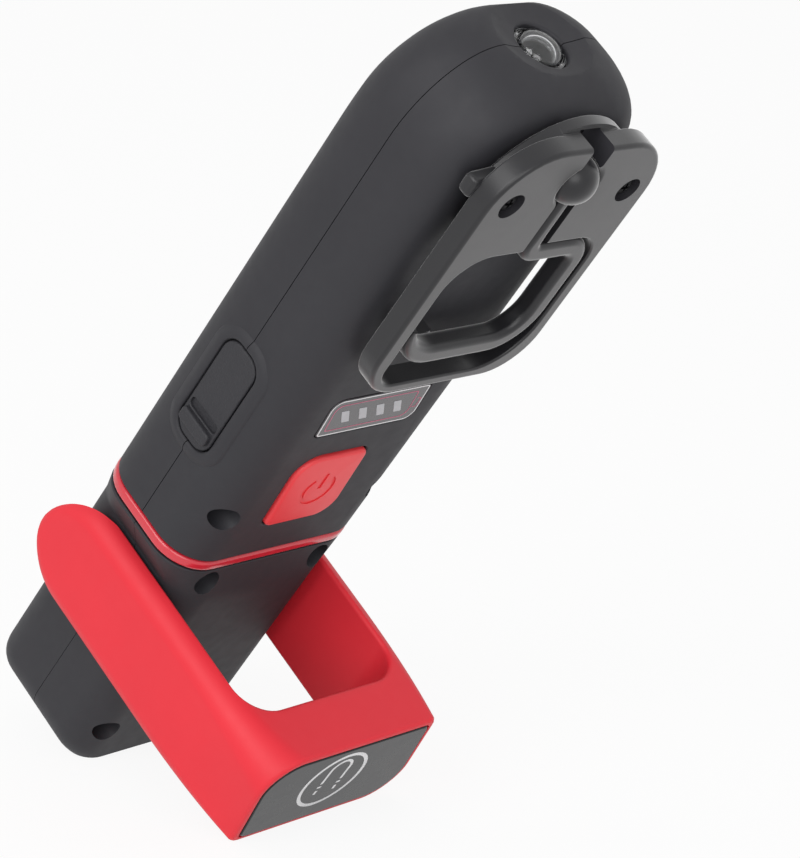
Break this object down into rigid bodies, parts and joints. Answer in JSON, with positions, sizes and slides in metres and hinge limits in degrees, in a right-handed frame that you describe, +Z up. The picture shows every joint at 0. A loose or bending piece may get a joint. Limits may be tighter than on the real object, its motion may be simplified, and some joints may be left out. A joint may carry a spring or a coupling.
{
  "type": "work light",
  "caption": "Hand-held rechargeable work light with a front light panel, end torch, swinging magnetic stand, folding hook and belt-clip plate, leaning on its open stand.",
  "frame": {"origin": "on the floor, at the middle of the footprint of the light leaning on its open stand", "axes": "+Z up; +X across the light, out of the side with the charging flap; +Y to the side that the light leans towards, under which the controls and the hook face"},
  "size_m": [0.0552, 0.142, 0.1777],
  "materials": {
    "soft_black": "soft-touch matt",
    "satin_grey": "satin moulded",
    "red_rubber": "soft-touch matt",
    "red_gloss": "glossy",
    "white_reflector": "satin white",
    "clear": "clear polished",
    "phosphor": "yellow phosphor",
    "aluminium": "plain sheet",
    "steel": "zinc plated",
    "board": "solder mask",
    "chip_white": "white resin",
    "panel_grey": "glossy label",
    "flap_rubber": "matt rubber",
    "cover_grey": "semi-gloss",
    "cell_wrap": "plastic-wrapped can",
    "lead_red": "wire insulation",
    "lead_black": "wire insulation"
  },
  "bodies": {
    "lamp_body": {"front_shell": "soft_black", "rear_shell": "soft_black", "seam_band": "red_gloss", "head_screw_left": "steel", "head_screw_right": "steel", "reflector": "white_reflector", "cob_window": "clear", "cob_phosphor": "phosphor", "cob_board": "aluminium", "heat_sink": "aluminium", "torch_lens": "clear", "torch_reflector": "aluminium", "torch_led": "chip_white", "tact_switch": "steel", "battery_panel": "panel_grey", "indicator_led_1": "chip_white", "indicator_led_2": "chip_white", "indicator_led_3": "chip_white", "indicator_led_4": "chip_white", "main_board": "board", "usb_socket": "steel", "grip_front": "soft_black", "grip_rear": "soft_black", "grip_screw_1": "steel", "grip_screw_2": "steel", "grip_screw_3": "steel", "grip_screw_4": "steel", "battery_cell": "cell_wrap", "cell_contact_top": "steel", "cell_contact_bottom": "steel", "battery_lead_plus": "lead_red", "battery_lead_minus": "lead_black", "friction_washer_left": "steel", "friction_washer_right": "steel", "hook_plate": "satin_grey", "hook_screw_left": "steel", "hook_screw_right": "steel"},
    "stand": {"bail": "red_rubber", "magnet_cover": "cover_grey", "magnet": "steel", "pivot_pin_left": "steel", "pivot_pin_right": "steel"},
    "hanging_hook": {"hook": "satin_grey"},
    "button": {"power_button": "red_rubber", "switch_plunger": "red_rubber"},
    "usb_flap": {"usb_cover": "flap_rubber"}
  },
  "joints": [
    {"name": "stand_swing", "type": "hinge", "parent": "lamp_body", "child": "stand", "pos_m": [-0.00015, -0.03331, 0.04403], "axis": [1, 0, 0], "range_deg": [-180, 0]},
    {"name": "hook_flip", "type": "hinge", "parent": "lamp_body", "child": "hanging_hook", "pos_m": [-0.00015, 0.06357, 0.14775], "axis": [1, 0, 0], "range_deg": [0, 180]},
    {"name": "button_press", "type": "slide", "parent": "lamp_body", "child": "button", "axis": [0, -0.8254, 0.5646], "range_m": [0, 0.001], "stiffness_N_per_m": 1500},
    {"name": "usb_flap_open", "type": "hinge", "parent": "lamp_body", "child": "usb_flap", "pos_m": [0.02758, 0.00847, 0.10511], "axis": [0, -0.8254, 0.5646], "range_deg": [0, 100]}
  ]
}
